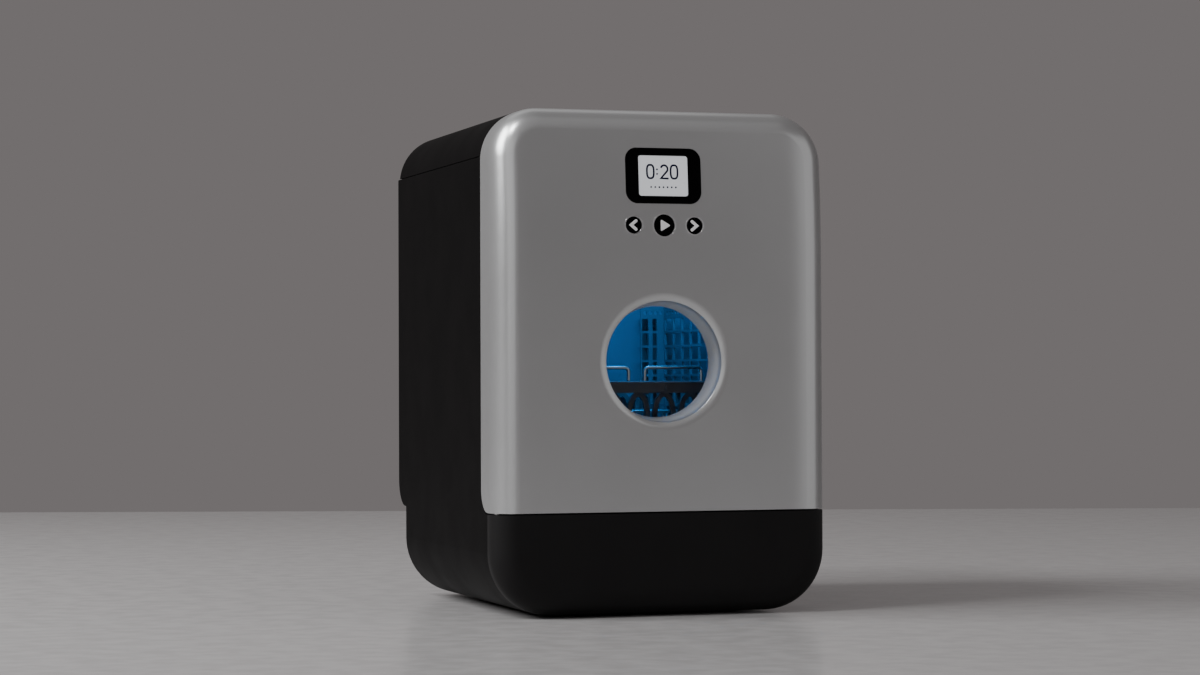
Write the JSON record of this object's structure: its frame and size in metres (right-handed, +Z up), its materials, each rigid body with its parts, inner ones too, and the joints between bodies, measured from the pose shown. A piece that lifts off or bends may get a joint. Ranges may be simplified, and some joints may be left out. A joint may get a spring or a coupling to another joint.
{
  "type": "compact dishwasher",
  "caption": "Countertop dishwasher with a porthole door, display, push buttons, wire-guarded basket, spray arms, pump and rear water tank.",
  "frame": {"origin": "centre of the footprint on the surface that the feet stand on", "axes": "+Z up, -Y towards the front where the door's face is, +X to the right seen from the front"},
  "size_m": [0.34, 0.39, 0.49],
  "materials": {
    "side_black": "satin moulded, near black",
    "frame_black": "matt moulded",
    "inner_grey": "moulded polypropylene",
    "inner_steel": "zinc plated sheet",
    "rubber_black": "matt rubber",
    "rubber_grey": "soft silicone",
    "screw_steel": "plated screw",
    "pin_steel": "ground steel",
    "door_silver": "satin metallic silver grey",
    "liner_grey": "moulded lining",
    "window_glass": "clear toughened glass",
    "funnel_grey": "smooth moulded ring",
    "gloss_black": "piano black",
    "screen_pale": "pale backlit display",
    "board_green": "circuit board",
    "bearing_white": "acetal",
    "tub_lining": "smooth light lining",
    "runner_grey": "moulded runner",
    "basket_dark": "dark grey plastic",
    "wire_steel": "polished stainless wire",
    "lamp_blue": "blue lit diffuser",
    "spray_grey": "moulded grey",
    "filter_steel": "perforated stainless",
    "motor_grey": "motor casing",
    "connector_white": "nylon",
    "tank_clear": "translucent polyethylene"
  },
  "bodies": {
    "cabinet": {"air_grille": "basket_dark", "base_rear_panel": "inner_grey", "base_tray": "inner_steel", "basket_runners": "runner_grey", "casing_screws": "screw_steel", "ceiling_sprayer": "spray_grey", "door_gasket": "rubber_grey", "drain_pump": "motor_grey", "drain_spigot": "inner_grey", "feed_pipe": "rubber_grey", "fill_funnel": "inner_grey", "filter_cup": "filter_steel", "filter_plate": "filter_steel", "flow_heater": "filter_steel", "front_frame": "frame_black", "hinge_arm": "inner_steel", "hinge_bracket": "inner_steel", "hinge_pins": "pin_steel", "inlet_valve": "connector_white", "lamp_strip": "lamp_blue", "lock_case": "frame_black", "plinth_panel": "side_black", "power_board": "board_green", "power_inlet": "gloss_black", "pump_volute": "inner_grey", "rear_cover": "side_black", "rubber_feet": "rubber_black", "spray_nut": "spray_grey", "spray_post": "spray_grey", "sump": "inner_grey", "tank_shelf": "inner_steel", "top_cover": "side_black", "tub": "tub_lining", "wash_pump_motor": "motor_grey", "water_hoses": "rubber_black", "water_tank": "tank_clear", "wrap_casing": "side_black"},
    "door": {"door_shell": "door_silver", "door_liner": "liner_grey", "porthole_glass": "window_glass", "porthole_seal": "rubber_black", "porthole_funnel": "funnel_grey", "inner_window": "window_glass", "display_window": "gloss_black", "display_screen": "screen_pale", "control_carrier": "frame_black", "display_board": "board_green", "keypad_mat": "rubber_grey", "hinge_blocks": "bearing_white", "door_hook": "inner_steel"},
    "button_left_body": {"button_left": "gloss_black"},
    "button_start_body": {"button_start": "gloss_black"},
    "button_right_body": {"button_right": "gloss_black"},
    "basket_body": {"basket": "basket_dark", "basket_wires": "wire_steel", "cutlery_basket": "basket_dark"},
    "spray_arm_body": {"spray_arm": "spray_grey"},
    "impeller_body": {"pump_impeller": "bearing_white"},
    "flap_body": {"fill_flap": "side_black"},
    "lock_bolt_body": {"lock_bolt": "pin_steel"}
  },
  "joints": [
    {"name": "door_hinge", "type": "hinge", "parent": "cabinet", "child": "door", "pos_m": [-0.162, -0.1724, 0.245], "axis": [0, 0, -1], "range_deg": [0, 95]},
    {"name": "button_left_push", "type": "slide", "parent": "door", "child": "button_left_body", "axis": [0, 1, 0], "range_m": [0, 0.0012], "stiffness_N_per_m": 300},
    {"name": "button_start_push", "type": "slide", "parent": "door", "child": "button_start_body", "axis": [0, 1, 0], "range_m": [0, 0.0012], "stiffness_N_per_m": 300},
    {"name": "button_right_push", "type": "slide", "parent": "door", "child": "button_right_body", "axis": [0, 1, 0], "range_m": [0, 0.0012], "stiffness_N_per_m": 300},
    {"name": "basket_slide", "type": "slide", "parent": "cabinet", "child": "basket_body", "axis": [0, -1, 0], "range_m": [0, 0.085]},
    {"name": "spray_arm_spin", "type": "hinge", "parent": "cabinet", "child": "spray_arm_body", "pos_m": [0, 0.00055, 0.138], "axis": [0, 0, 1], "continuous": true},
    {"name": "impeller_spin", "type": "hinge", "parent": "cabinet", "child": "impeller_body", "pos_m": [0.062, -0.027, 0.044], "axis": [0, 1, 0], "continuous": true},
    {"name": "flap_hinge", "type": "hinge", "parent": "cabinet", "child": "flap_body", "pos_m": [0, 0.178, 0.4875], "axis": [-1, 0, 0], "range_deg": [0, 80]},
    {"name": "lock_bolt_slide", "type": "slide", "parent": "cabinet", "child": "lock_bolt_body", "axis": [0, 0, 1], "range_m": [0, 0.01]}
  ],
  "couplings": [
    {"joint": "basket_slide", "follows": "door_hinge", "m_per_rad": 0.05}
  ]
}
